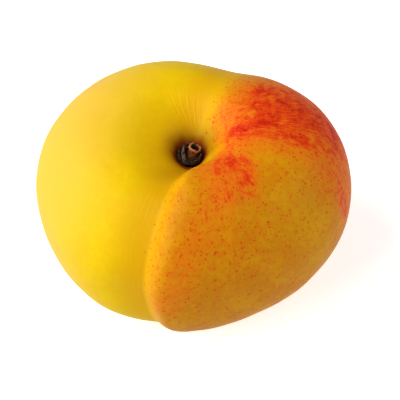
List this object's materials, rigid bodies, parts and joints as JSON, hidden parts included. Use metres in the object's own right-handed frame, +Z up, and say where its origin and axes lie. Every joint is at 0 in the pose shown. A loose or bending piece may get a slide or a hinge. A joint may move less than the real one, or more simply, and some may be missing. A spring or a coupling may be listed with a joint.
{
  "type": "flat nectarine",
  "caption": "Whole ripe flat nectarine with a suture between its cheeks, a funnel-shaped cavity holding a dry broken stalk, and a dimpled base that it rests on.",
  "frame": {"origin": "on the surface that the fruit rests on, under the middle of the fruit seen from above", "axes": "+Z up, the way the stalk's cavity opens; +X towards the blushed cheek; the deeper suture runs down the -Y side"},
  "size_m": [0.0704, 0.0644, 0.0426],
  "materials": {
    "ripe_skin": "smooth hairless skin with a soft low sheen, yellow on one cheek and ochre with a red blush on the other",
    "dry_stalk": "dull, dry and fibrous"
  },
  "bodies": {
    "root": {"fruit": "ripe_skin", "stalk": "dry_stalk"}
  },
  "joints": []
}
